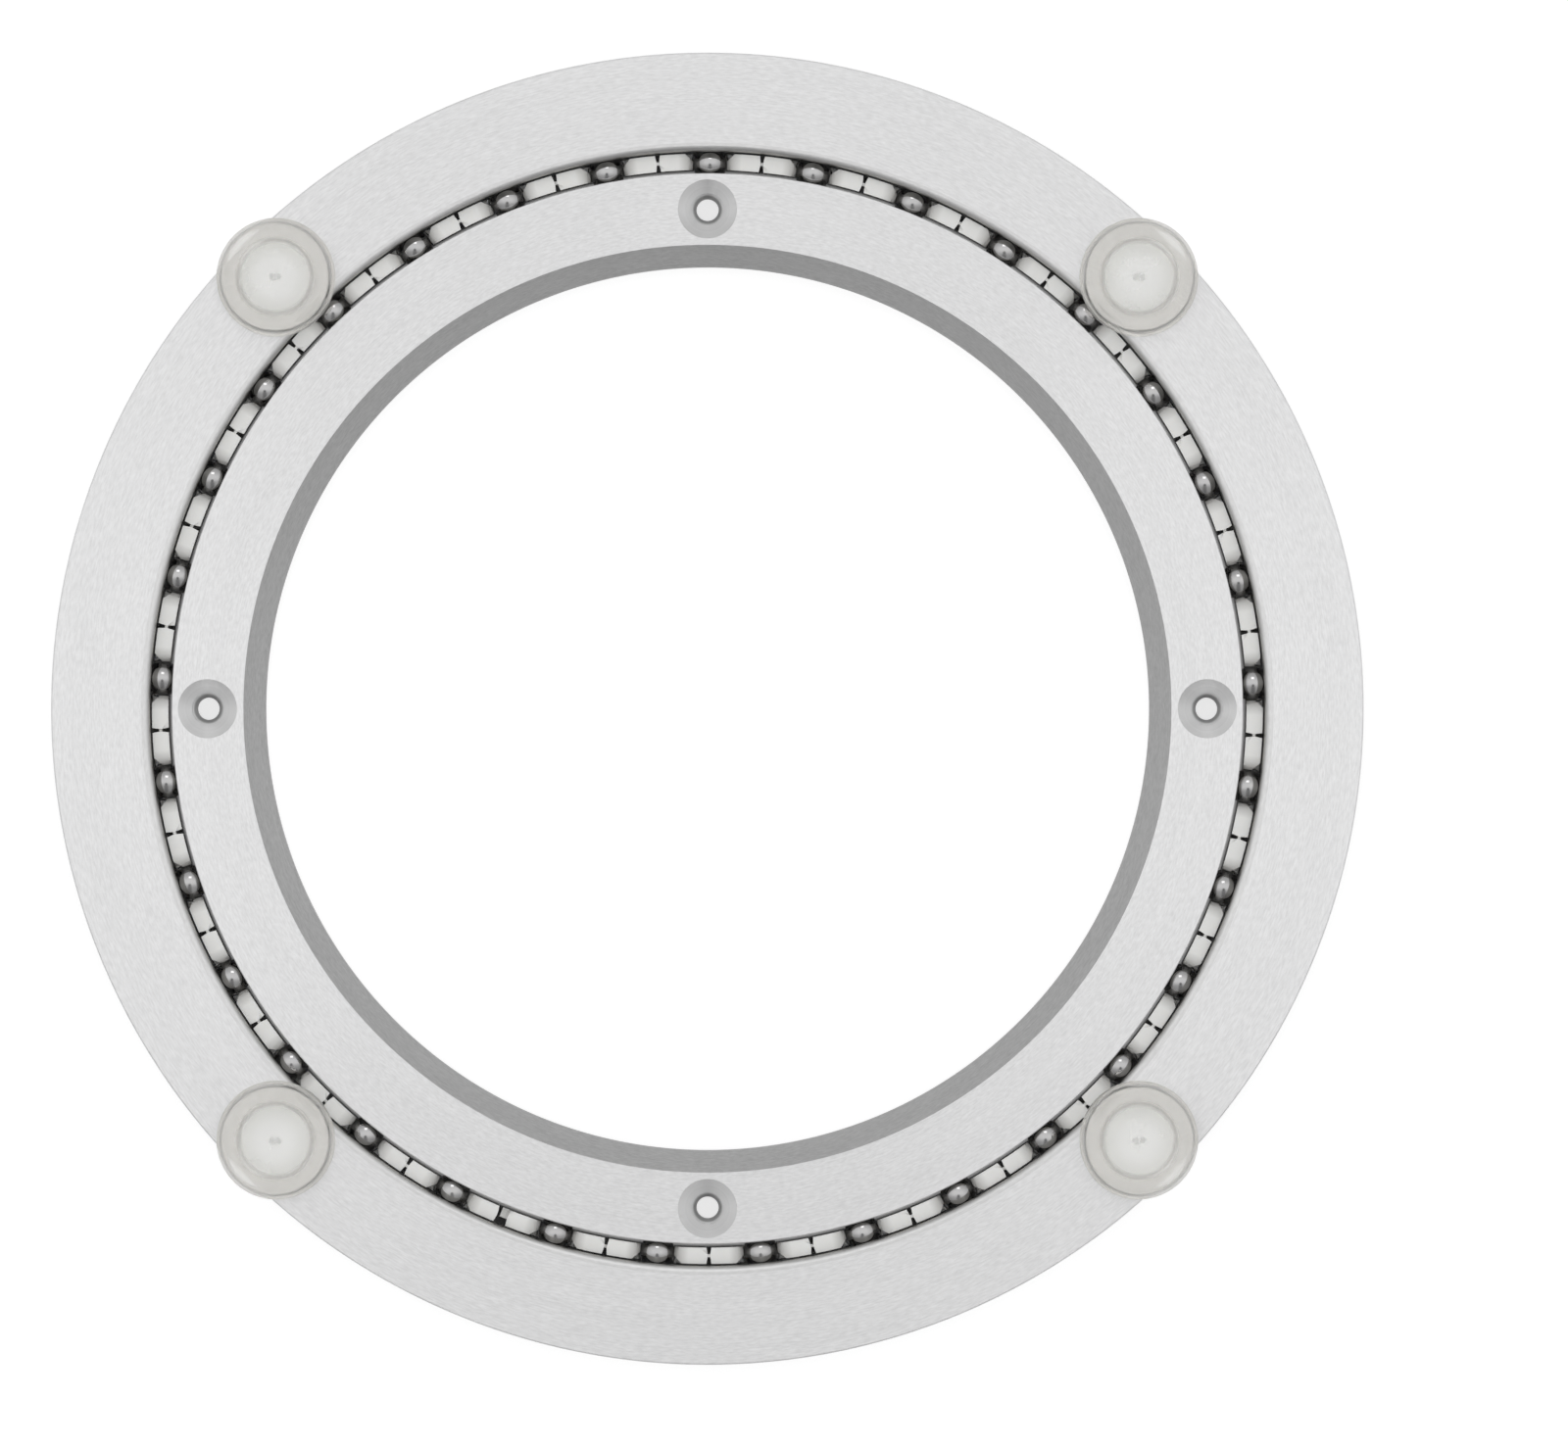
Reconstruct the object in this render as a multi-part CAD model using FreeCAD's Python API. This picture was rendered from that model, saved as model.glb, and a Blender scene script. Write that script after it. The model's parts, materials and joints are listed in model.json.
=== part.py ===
import FreeCAD, Part

import math
import os

# Lazy susan bearing: two turned aluminium rings that run on one row of steel balls.
# Z is the spin axis, and z = 0 is the face of the inner ring that is screwed to the tray.
# The feet point up, out of the outer ring, as the bearing lies on its tray face.
# All lengths are in millimetres and all angles in degrees.

Vector = FreeCAD.Vector
SPIN_AXIS = Vector(0, 0, 1)
PARTS_FOLDER = "parts"

# Rings
outer_diameter = 200.0
outer_ring_width = 15.0
ring_gap = 3.3               # open slot between the two rings
inner_ring_width = 14.2
ring_thickness = 8.5
ring_offset = 1.5            # how far the tray face stands out past the outer ring
bore_bevel_width = 3.25
bore_bevel_depth = 5.0
slot_edge_radius = 0.9       # rounded edge of the outer ring over the slot
edge_break = 0.2             # small chamfer on the turned edges

# Balls and the races that they run in
ball_count = 33
ball_diameter = 5.5
race_clearance = 0.15

# Retainer: one moulded nylon strip, bent round until its two ends nearly meet
strip_width = 2.5
strip_gap = 0.3              # to the outer ring's wall, against which the bent strip leans
strip_recess = 0.5           # below the inner ring's open face
web_thickness = 0.5          # under each ball
pocket_clearance = 0.15
pocket_snap = 0.15           # the mouth is narrower than the ball by this on each side
horn_nose_radius = 1.2
horn_corner_length = 1.3     # cut off on the outer ring's side, beside the ball
horn_corner_depth = 1.2
hinge_slot_mouth = 0.75
hinge_slot_throat = 0.42
hinge_neck_width = 0.45
hinge_neck_drop = 0.3
strip_end_gap = 1.95         # between the strip's two ends
end_tongue_length = 1.35     # of the tongue that closes part of that gap
end_tongue_width = 1.5
end_tongue_drop = 1.2        # below the horns' faces
balls_before_top = 18        # balls from the strip's first end to the one near twelve o'clock
top_ball_angle = 89.74

# Countersunk screw holes in the inner ring
screw_count = 4
screw_first_angle = 0.0
countersink_diameter = 9.0
shank_hole_diameter = 4.8
pilot_hole_diameter = 3.4
pilot_hole_length = 4.0
drill_tip_angle = 118.0

# Feet: clear soft pads moulded round the flange of a threaded stud
foot_count = 4
foot_first_angle = 45.0
pad_diameter = 18.1
pad_thickness = 5.0
pad_lip_height = 0.9
pad_waist_depth = 0.45       # how far the wall stands in from the lip
pad_wall_draft = 0.3         # and leans in further up to its edge
pad_edge_radius = 0.8
pad_dish_depth = 0.4
pad_dish_sag = 0.25
pad_dish_slope = 0.3
gate_nub_diameter = 1.2
gate_nub_height = 0.15
stud_diameter = 6.0
stud_length = 6.5            # below the ring's face
stud_tip_chamfer = 0.6
flange_diameter = 11.0
flange_thickness = 1.5
flange_depth = 1.1           # pad between the ring and the flange
thread_clearance = 0.05
moulding_clearance = 0.02
stud_hole_depth = 7.2
stud_hole_chamfer = 0.4

# Sizes that follow from the ones above
outer_radius = outer_diameter / 2
outer_wall_radius = outer_radius - outer_ring_width
ball_circle_radius = outer_wall_radius - ring_gap / 2
inner_wall_radius = outer_wall_radius - ring_gap
bore_radius = inner_wall_radius - inner_ring_width
ball_radius = ball_diameter / 2
race_radius = ball_radius + race_clearance
inner_face_z = ring_thickness
outer_base_z = ring_offset
outer_face_z = ring_offset + ring_thickness
ball_plane_z = outer_face_z / 2
race_half_height = math.sqrt(race_radius ** 2 - (ring_gap / 2) ** 2)

screw_circle_radius = (bore_radius + bore_bevel_width + inner_wall_radius) / 2
foot_circle_radius = (outer_wall_radius + slot_edge_radius + outer_radius) / 2

pocket_radius = ball_radius + pocket_clearance
pocket_mouth_half = ball_radius - pocket_snap
strip_outside = outer_wall_radius - strip_gap
strip_inside = strip_outside - strip_width
strip_middle = (strip_outside + strip_inside) / 2
strip_top_z = inner_face_z - strip_recess
strip_base_z = ball_plane_z - pocket_radius - web_thickness
strip_end_angle = math.degrees((strip_end_gap - hinge_slot_mouth) / ball_circle_radius)
ball_pitch_angle = (360.0 - strip_end_angle) / ball_count
first_ball_angle = top_ball_angle - balls_before_top * ball_pitch_angle


def point(radius, height):
    """A point of a turned profile."""
    return Vector(radius, 0, height)


def line(start, end):
    return Part.LineSegment(start, end).toShape()


def arc(start, middle, end):
    return Part.Arc(start, middle, end).toShape()


def straight_edges(points):
    """The lines that join the points in order."""
    return [line(a, b) for a, b in zip(points, points[1:])]


def turned(edges):
    """The solid that a closed profile sweeps round the Z axis."""
    return Part.Face(Part.Wire(edges)).revolve(Vector(), SPIN_AXIS, 360)


def extruded(edges, direction):
    return Part.Face(Part.Wire(edges)).extrude(direction)


def turned_to(shape, angle):
    """A copy of the shape, turned about the spin axis."""
    copy = shape.copy()
    copy.rotate(Vector(), SPIN_AXIS, angle)
    return copy


def around(shape, radius, count, first_angle):
    """Copies of a shape made at the origin, evenly spaced on a circle."""
    placed = shape.copy()
    placed.translate(Vector(radius, 0, 0))
    return [turned_to(placed, first_angle + 360.0 * i / count) for i in range(count)]


def make_outer_ring():
    wall = outer_wall_radius
    round_centre = point(wall + slot_edge_radius, outer_face_z - slot_edge_radius)
    round_middle = round_centre + point(-1, 1) * (slot_edge_radius / math.sqrt(2))
    race_top = point(wall, ball_plane_z + race_half_height)
    race_base = point(wall, ball_plane_z - race_half_height)
    body = straight_edges([
        race_base,
        point(wall, outer_base_z + edge_break),
        point(wall + edge_break, outer_base_z),
        point(outer_radius - edge_break, outer_base_z),
        point(outer_radius, outer_base_z + edge_break),
        point(outer_radius, outer_face_z - edge_break),
        point(outer_radius - edge_break, outer_face_z),
        point(wall + slot_edge_radius, outer_face_z),
    ])
    slot_round = arc(body[-1].Vertexes[-1].Point, round_middle, point(wall, round_centre.z))
    upper_wall = line(point(wall, round_centre.z), race_top)
    race = arc(race_top, point(ball_circle_radius + race_radius, ball_plane_z), race_base)
    ring = turned(body + [slot_round, upper_wall, race])
    return ring.cut(around(make_stud_hole(), foot_circle_radius, foot_count, foot_first_angle))


def make_stud_hole():
    """The blind threaded hole for a foot, as the drill and the mouth chamfer leave it."""
    radius = stud_diameter / 2 + thread_clearance
    mouth = radius + stud_hole_chamfer
    end_z = outer_face_z - stud_hole_depth
    return turned(straight_edges([
        point(0, end_z),
        point(radius, end_z),
        point(radius, outer_face_z - stud_hole_chamfer),
        point(mouth, outer_face_z),
        point(mouth, outer_face_z + edge_break),
        point(0, outer_face_z + edge_break),
        point(0, end_z),
    ]))


def make_inner_ring():
    wall = inner_wall_radius
    race_top = point(wall, ball_plane_z + race_half_height)
    race_base = point(wall, ball_plane_z - race_half_height)
    body = straight_edges([
        race_top,
        point(wall, inner_face_z - edge_break),
        point(wall - edge_break, inner_face_z),
        point(bore_radius + bore_bevel_width, inner_face_z),
        point(bore_radius, inner_face_z - bore_bevel_depth),
        point(bore_radius, edge_break),
        point(bore_radius + edge_break, 0),
        point(wall - edge_break, 0),
        point(wall, edge_break),
        race_base,
    ])
    race = arc(race_base, point(ball_circle_radius - race_radius, ball_plane_z), race_top)
    ring = turned(body + [race])
    return ring.cut(around(make_screw_hole(), screw_circle_radius, screw_count, screw_first_angle))


def make_screw_hole():
    """A screw's countersink, shank hole and pilot hole, from the open face to the tray face."""
    head = countersink_diameter / 2
    shank = shank_hole_diameter / 2
    pilot = pilot_hole_diameter / 2
    tip_height = (shank - pilot) / math.tan(math.radians(drill_tip_angle / 2))
    return turned(straight_edges([
        point(0, -edge_break),
        point(pilot, -edge_break),
        point(pilot, pilot_hole_length),
        point(shank, pilot_hole_length + tip_height),
        point(shank, inner_face_z - (head - shank)),
        point(head + edge_break, inner_face_z + edge_break),
        point(0, inner_face_z + edge_break),
        point(0, -edge_break),
    ]))


def make_ball():
    return Part.makeSphere(ball_radius, point(ball_circle_radius, ball_plane_z))


def on_circle(radius, along, half_angle=0.0):
    """A plan point near a cell's end: along is measured from the ray at half_angle."""
    angle = math.radians(half_angle) + along / ball_circle_radius
    return Vector(radius * math.cos(angle), radius * math.sin(angle), strip_base_z)


def make_cell():
    """One cell of the retainer: two horns over a web, with a pocket for a ball between them."""
    half_pitch = ball_pitch_angle / 2
    neck_outside = strip_middle + hinge_neck_width / 2
    neck_inside = strip_middle - hinge_neck_width / 2
    mouth = hinge_slot_mouth / 2
    throat = hinge_slot_throat / 2
    plan = [
        arc(on_circle(strip_outside, mouth, -half_pitch),
            on_circle(strip_outside, 0),
            on_circle(strip_outside, -mouth, half_pitch)),
        *straight_edges([
            on_circle(strip_outside, -mouth, half_pitch),
            on_circle(neck_outside, -throat, half_pitch),
            on_circle(neck_inside, -throat, half_pitch),
            on_circle(strip_inside, -mouth, half_pitch),
        ]),
        arc(on_circle(strip_inside, -mouth, half_pitch),
            on_circle(strip_inside, 0),
            on_circle(strip_inside, mouth, -half_pitch)),
        *straight_edges([
            on_circle(strip_inside, mouth, -half_pitch),
            on_circle(neck_inside, throat, -half_pitch),
            on_circle(neck_outside, throat, -half_pitch),
            on_circle(strip_outside, mouth, -half_pitch),
        ]),
    ]
    cell = extruded(plan, Vector(0, 0, strip_top_z - strip_base_z))
    return cell.cut(make_pocket_mouth()).cut(make_horn_corners()).cut(make_pocket())


def make_pocket():
    return Part.makeSphere(pocket_radius, point(ball_circle_radius, ball_plane_z), Vector(1, 0, 0))


def make_pocket_mouth():
    """The way between the two horns, whose noses are rounded so that a ball snaps past them."""
    flat_half = pocket_mouth_half + horn_nose_radius
    nose_z = strip_top_z - horn_nose_radius
    bend = horn_nose_radius / math.sqrt(2)
    start_radius = strip_middle - strip_width

    def at(along, height):
        return Vector(start_radius, along, height)

    def nose(side):
        return arc(at(side * flat_half, strip_top_z),
                   at(side * (flat_half - bend), nose_z + bend),
                   at(side * pocket_mouth_half, nose_z))

    outline = [
        nose(-1),
        *straight_edges([
            at(-pocket_mouth_half, nose_z),
            at(-pocket_mouth_half, ball_plane_z),
            at(pocket_mouth_half, ball_plane_z),
            at(pocket_mouth_half, nose_z),
        ]),
        nose(1),
        line(at(flat_half, strip_top_z), at(-flat_half, strip_top_z)),
    ]
    return extruded(outline, Vector(2 * strip_width, 0, 0))


def make_horn_corners():
    """The wide notch that cuts the horns' corners off on the outer ring's side, beside the ball."""
    far = pocket_mouth_half + horn_corner_length
    depth = horn_corner_depth * far / horn_corner_length
    plan = straight_edges([
        Vector(strip_outside, -far, ball_plane_z),
        Vector(strip_outside + strip_width, -far, ball_plane_z),
        Vector(strip_outside + strip_width, far, ball_plane_z),
        Vector(strip_outside, far, ball_plane_z),
        Vector(strip_outside - depth, 0, ball_plane_z),
        Vector(strip_outside, -far, ball_plane_z),
    ])
    return extruded(plan, Vector(0, 0, strip_top_z - ball_plane_z + edge_break))


def make_neck():
    """The thin neck, a living hinge, between a cell and the next one."""
    half_pitch = ball_pitch_angle / 2
    throat = hinge_slot_throat / 2
    outside = strip_middle + hinge_neck_width / 2
    inside = strip_middle - hinge_neck_width / 2
    plan = straight_edges([
        on_circle(outside, -throat, half_pitch),
        on_circle(outside, throat, half_pitch),
        on_circle(inside, throat, half_pitch),
        on_circle(inside, -throat, half_pitch),
        on_circle(outside, -throat, half_pitch),
    ])
    return extruded(plan, Vector(0, 0, strip_top_z - hinge_neck_drop - strip_base_z))


def make_end_tongue():
    """The low tongue on the strip's first end, which reaches towards the other end."""
    half_pitch = ball_pitch_angle / 2
    root = hinge_slot_mouth
    tip = hinge_slot_mouth / 2 - end_tongue_length
    outside = strip_inside + end_tongue_width
    plan = straight_edges([
        on_circle(outside, root, -half_pitch),
        on_circle(outside, tip, -half_pitch),
        on_circle(strip_inside, tip, -half_pitch),
        on_circle(strip_inside, root, -half_pitch),
        on_circle(outside, root, -half_pitch),
    ])
    return extruded(plan, Vector(0, 0, strip_top_z - end_tongue_drop - strip_base_z))


def ball_angle(index):
    return first_ball_angle + index * ball_pitch_angle


def make_retainer():
    cell = make_cell()
    neck = make_neck()
    cells = [turned_to(cell, ball_angle(i)) for i in range(ball_count)]
    necks = [turned_to(neck, ball_angle(i)) for i in range(ball_count - 1)]
    tongue = turned_to(make_end_tongue(), ball_angle(0))
    return cells[0].fuse(cells[1:] + necks + [tongue])


def make_foot_pad():
    """The clear pad, with the hollow that its stud's flange fills."""
    lip = pad_diameter / 2
    wall = lip - pad_waist_depth
    wall_top = wall - pad_wall_draft
    top_z = outer_face_z + pad_thickness
    lip_z = outer_face_z + pad_lip_height
    bend = pad_edge_radius / math.sqrt(2)
    edge_centre = point(wall_top - pad_edge_radius, top_z - pad_edge_radius)
    dish = flange_diameter / 2
    dish_z = top_z - pad_dish_depth
    nub = gate_nub_diameter / 2
    dish_floor_z = dish_z - pad_dish_sag
    nub_z = dish_floor_z + gate_nub_height
    hollow = dish + moulding_clearance
    hollow_base_z = outer_face_z + flange_depth - moulding_clearance
    hollow_top_z = outer_face_z + flange_depth + flange_thickness + moulding_clearance
    hole = stud_diameter / 2 + moulding_clearance
    side = straight_edges([
        point(hole, outer_face_z),
        point(lip - edge_break, outer_face_z),
        point(lip, outer_face_z + edge_break),
        point(lip, lip_z),
        point(wall, lip_z + pad_waist_depth),
        point(wall_top, edge_centre.z),
    ])
    edge = arc(point(wall_top, edge_centre.z),
               edge_centre + point(bend, bend),
               point(edge_centre.x, top_z))
    sole = straight_edges([
        point(edge_centre.x, top_z),
        point(dish + pad_dish_slope, top_z),
        point(dish, dish_z),
    ])
    dish_curve = arc(point(dish, dish_z),
                     point((dish + nub) / 2, dish_floor_z + pad_dish_sag / 4),
                     point(nub, dish_floor_z))
    inside = straight_edges([
        point(nub, dish_floor_z),
        point(nub, nub_z),
        point(0, nub_z),
        point(0, hollow_top_z),
        point(hollow, hollow_top_z),
        point(hollow, hollow_base_z),
        point(hole, hollow_base_z),
        point(hole, outer_face_z),
    ])
    return turned(side + [edge] + sole + [dish_curve] + inside)


def make_foot_stud():
    """The plated stud: a threaded shank with a round flange."""
    shank = stud_diameter / 2
    flange = flange_diameter / 2
    tip_z = outer_face_z - stud_length
    flange_z = outer_face_z + flange_depth
    top_z = flange_z + flange_thickness
    return turned(straight_edges([
        point(0, tip_z),
        point(shank - stud_tip_chamfer, tip_z),
        point(shank, tip_z + stud_tip_chamfer),
        point(shank, flange_z),
        point(flange, flange_z),
        point(flange, top_z),
        point(0, top_z),
        point(0, tip_z),
    ]))


def write_part(name, shape):
    if not shape.isValid() or len(shape.Solids) != 1:
        raise ValueError(name + " isn't one valid solid")
    shape.Solids[0].exportStep(os.path.join(PARTS_FOLDER, name + ".step"))
    print(name, "volume", round(shape.Volume, 2))


def main():
    os.makedirs(PARTS_FOLDER, exist_ok=True)
    write_part("outer_ring", make_outer_ring())
    write_part("inner_ring", make_inner_ring())
    write_part("ball_retainer", make_retainer())
    ball = make_ball()
    for i in range(ball_count):
        write_part("ball_%02d" % (i + 1), turned_to(ball, ball_angle(i)))
    pads = around(make_foot_pad(), foot_circle_radius, foot_count, foot_first_angle)
    studs = around(make_foot_stud(), foot_circle_radius, foot_count, foot_first_angle)
    for i, (pad, stud) in enumerate(zip(pads, studs)):
        write_part("foot_pad_%d" % (i + 1), pad)
        write_part("foot_stud_%d" % (i + 1), stud)


main()
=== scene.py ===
"""The looks of a flat turntable bearing: two turned rings, their balls and retainer, and four clear feet.

The bearing lies on its tray face with the feet up, and the camera looks straight down on it.
Every length is in metres, and MM turns millimetres into them.
"""
import json
import math

import bmesh
import bpy
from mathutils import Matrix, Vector

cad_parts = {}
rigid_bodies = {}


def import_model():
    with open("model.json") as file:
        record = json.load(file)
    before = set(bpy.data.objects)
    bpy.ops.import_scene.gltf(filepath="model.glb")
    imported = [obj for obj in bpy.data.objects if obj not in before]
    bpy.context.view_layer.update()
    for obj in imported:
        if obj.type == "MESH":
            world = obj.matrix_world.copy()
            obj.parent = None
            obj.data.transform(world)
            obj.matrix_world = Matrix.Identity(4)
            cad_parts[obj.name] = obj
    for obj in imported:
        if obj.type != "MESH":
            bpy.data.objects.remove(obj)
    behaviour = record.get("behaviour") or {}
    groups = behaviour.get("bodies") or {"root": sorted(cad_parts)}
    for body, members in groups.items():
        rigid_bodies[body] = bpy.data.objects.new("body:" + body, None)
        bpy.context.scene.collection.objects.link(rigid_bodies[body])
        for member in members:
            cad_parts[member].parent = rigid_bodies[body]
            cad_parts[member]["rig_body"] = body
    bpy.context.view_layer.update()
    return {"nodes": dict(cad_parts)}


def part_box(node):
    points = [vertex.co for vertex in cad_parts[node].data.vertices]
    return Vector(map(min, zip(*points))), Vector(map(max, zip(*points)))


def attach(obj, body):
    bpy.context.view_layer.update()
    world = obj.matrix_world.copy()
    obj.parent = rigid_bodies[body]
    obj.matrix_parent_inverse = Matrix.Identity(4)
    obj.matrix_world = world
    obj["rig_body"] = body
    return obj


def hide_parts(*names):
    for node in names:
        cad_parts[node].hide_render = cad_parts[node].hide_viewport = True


MM = 0.001
UP = Vector((0, 0, 1))

# The photograph's frame: 1600 pixels wide, with the spin axis left of its middle and above it
PIXEL = 0.14932 * MM
FRAME_WIDTH_PIXELS = 1600
AXIS_LEFT_OF_MIDDLE_PIXELS = 78.2
AXIS_ABOVE_MIDDLE_PIXELS = 15.6
CAMERA_HEIGHT = 2.5

# Light
ROOM_LIGHT = 0.92
ROOM_NEAR_SIDE = 0.55
ROOM_FAR_SIDE = 0.8
ROOM_HORIZON = 0.55
FLOOR_GLOW = 0.72
FLOOR_GLOW_LOST_IN_METAL = 0.35
FLOOR_COLOUR = (0.9, 0.9, 0.9)
FLOOR_COLOUR_SEEN = (0.42, 0.42, 0.42)
FLOOR_DEPTH = 0.05 * MM
STAND_DIRECTION = (0, -0.24, 0.97)

# Rings
RING_SEGMENTS = 384
BALL_COUNT = 33
BALL_CIRCLE_RADIUS = 83.35 * MM
BALL_PLANE_Z = 5.0 * MM
RACE_RADIUS = 2.9 * MM
# Heights of the painted shade on the ball slot's walls: its top on the inner and on the outer wall, and its
# lower end
SHADE_TOP_INNER = 8.1 * MM
SHADE_TOP_OUTER = 10.15 * MM
SHADE_BASE = 7.2 * MM
RIM_RADIUS = 100.0 * MM
OUTER_WALL_RADIUS = 85.0 * MM
INNER_WALL_RADIUS = 81.7 * MM
SLOT_EDGE_RADIUS = 0.9 * MM
BORE_RADIUS = 67.5 * MM
BEVEL_EDGE_RADIUS = 70.75 * MM
BEVEL_DEPTH = 5.0 * MM
EDGE_BREAK = 0.2 * MM
SCREW_CIRCLE_RADIUS = 76.225 * MM
COUNTERSINK_RADIUS = 4.5 * MM
SHANK_HOLE_RADIUS = 2.4 * MM
PILOT_HOLE_RADIUS = 1.7 * MM
PILOT_HOLE_LENGTH = 4.0 * MM
DRILL_TIP_HEIGHT = 0.42 * MM

# Feet
FOOT_COUNT = 4
PAD_SEGMENTS = 128
PAD_SEAT_GAP = 0.02 * MM
LIP_ROUNDING = 0.3 * MM
LIP_TOP_ROUNDING = 0.2 * MM
LIP_HEIGHT = 0.8 * MM
WALL_START_HEIGHT = 1.35 * MM
WALL_INSET = 0.45 * MM
WALL_TAPER = 0.3 * MM
PAD_TOP_ROUNDING = 0.8 * MM
DISH_EDGE_WIDTH = 0.45 * MM
DISH_EDGE_ROUNDING = 0.25 * MM
DISH_EDGE_DEPTH = 0.42 * MM
DISH_FALL = 0.23 * MM
GATE_RADIUS = 0.6 * MM
DISH_STEP_RADIUS = 5.6 * MM
FLANGE_GAP = 0.02 * MM
FLANGE_HEIGHT = 1.5 * MM
STUD_NECK_RADIUS = 3.02 * MM
STUD_CREST_RADIUS = 3.0 * MM
STUD_HOLE_RADIUS = 3.05 * MM
STUD_HOLE_DEPTH = 7.2 * MM
STUD_HOLE_CHAMFER = 0.4 * MM
THREAD_PITCH = 1.0 * MM
THREAD_DEPTH = 0.58 * MM
THREAD_STEPS_PER_TURN = 48


# Meshes

def new_piece(name, mesh_data, material):
    """A finished object at the origin, with its place in its mesh."""
    mesh = bpy.data.meshes.new(name)
    mesh_data.to_mesh(mesh)
    mesh_data.free()
    mesh.materials.append(material)
    piece = bpy.data.objects.new(name, mesh)
    bpy.context.scene.collection.objects.link(piece)
    return piece


def smooth_but_keep_corners(piece, angle):
    """Smooth curves, sharp corners, and flat faces that stay flat up to their edges."""
    for polygon in piece.data.polygons:
        polygon.use_smooth = True
    piece.data.set_sharp_from_angle(angle=math.radians(angle))
    even = piece.modifiers.new("even_normals", "WEIGHTED_NORMAL")
    even.keep_sharp = True


def merged_copy_of_node(node, name, material):
    """A copy of a solid's mesh whose loose triangles are joined, for smooth curved faces."""
    bm = bmesh.new()
    bm.from_mesh(frame["nodes"][node].data)
    bmesh.ops.remove_doubles(bm, verts=bm.verts, dist=0.001 * MM)
    piece = new_piece(name, bm, material)
    smooth_but_keep_corners(piece, 25)
    return piece


def turned_profile(bm, points, steps, axis_point):
    """Spins a line of (radius, height) points round a vertical axis, and closes the seam."""
    verts = [bm.verts.new(axis_point + Vector((radius, 0, height))) for radius, height in points]
    edges = [bm.edges.new(pair) for pair in zip(verts, verts[1:])]
    bmesh.ops.spin(
        bm,
        geom=verts + edges,
        cent=axis_point,
        axis=UP,
        angle=math.tau,
        steps=steps,
        use_merge=True,
    )
    bmesh.ops.remove_doubles(bm, verts=bm.verts, dist=0.0005 * MM)
    bmesh.ops.recalc_face_normals(bm, faces=bm.faces)


def cut_holes(piece, profile, centres, segments):
    """Cuts one turned hole at each centre, and leaves nothing of the cutter behind."""
    bm = bmesh.new()
    for centre in centres:
        turned_profile(bm, profile, segments, centre)
    cutter = new_piece(piece.name + "_holes", bm, piece.data.materials[0])
    cut = piece.modifiers.new("holes", "BOOLEAN")
    cut.operation = "DIFFERENCE"
    cut.solver = "EXACT"
    cut.object = cutter
    evaluated = piece.evaluated_get(bpy.context.evaluated_depsgraph_get())
    whole = piece.data
    piece.data = bpy.data.meshes.new_from_object(evaluated)
    piece.data.name = piece.name
    piece.modifiers.clear()
    cutter_mesh = cutter.data
    bpy.data.objects.remove(cutter)
    bpy.data.meshes.remove(cutter_mesh)
    bpy.data.meshes.remove(whole)


def arc_points(centre, radius, start, end, count):
    """Points on an arc of a profile, from one angle to another."""
    angles = [math.radians(start + (end - start) * i / count) for i in range(count + 1)]
    return [(centre[0] + radius * math.cos(a), centre[1] + radius * math.sin(a)) for a in angles]


# Shader helpers

def start_material(name):
    material = bpy.data.materials.new(name)
    material.use_nodes = True
    nodes = material.node_tree.nodes
    shader = nodes["Principled BSDF"]
    return material, nodes, material.node_tree.links, shader


def math_node(nodes, links, operation, first, second=None, clamp=False):
    node = nodes.new("ShaderNodeMath")
    node.operation = operation
    node.use_clamp = clamp
    for socket, value in zip(node.inputs, (first, second)):
        if value is None:
            continue
        if isinstance(value, (int, float)):
            socket.default_value = value
        else:
            links.new(value, socket)
    return node.outputs[0]


def vector_node(nodes, links, operation, first, second=None):
    node = nodes.new("ShaderNodeVectorMath")
    node.operation = operation
    for socket, value in zip(node.inputs, (first, second)):
        if value is None:
            continue
        if isinstance(value, (tuple, Vector)):
            socket.default_value = value
        else:
            links.new(value, socket)
    return node.outputs["Value"] if operation in ("LENGTH", "DISTANCE") else node.outputs[0]


def remap(nodes, links, value, from_min, from_max, to_min, to_max, smooth=False):
    node = nodes.new("ShaderNodeMapRange")
    node.interpolation_type = "SMOOTHSTEP" if smooth else "LINEAR"
    node.inputs["From Min"].default_value = from_min
    node.inputs["From Max"].default_value = from_max
    node.inputs["To Min"].default_value = to_min
    node.inputs["To Max"].default_value = to_max
    links.new(value, node.inputs["Value"])
    return node.outputs["Result"]


def mix_colour(nodes, links, factor, first, second):
    node = nodes.new("ShaderNodeMix")
    node.data_type = "RGBA"
    sockets = [s for s in node.inputs if s.type == "RGBA"]
    for socket, value in zip(sockets, (first, second)):
        if isinstance(value, tuple):
            socket.default_value = (*value, 1.0)
        else:
            links.new(value, socket)
    if isinstance(factor, (int, float)):
        node.inputs["Factor"].default_value = factor
    else:
        links.new(factor, node.inputs["Factor"])
    return [s for s in node.outputs if s.type == "RGBA"][0]


def noise(nodes, links, vector, scale, detail=3.0, roughness=0.5, dimensions="3D"):
    node = nodes.new("ShaderNodeTexNoise")
    node.noise_dimensions = dimensions
    node.inputs["Scale"].default_value = scale
    node.inputs["Detail"].default_value = detail
    node.inputs["Roughness"].default_value = roughness
    links.new(vector, node.inputs["Vector"])
    return node.outputs["Factor"] if "Factor" in node.outputs else node.outputs["Fac"]


def bump(nodes, links, height, strength, distance):
    node = nodes.new("ShaderNodeBump")
    node.inputs["Strength"].default_value = strength
    node.inputs["Distance"].default_value = distance
    links.new(height, node.inputs["Height"])
    return node.outputs["Normal"]


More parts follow.
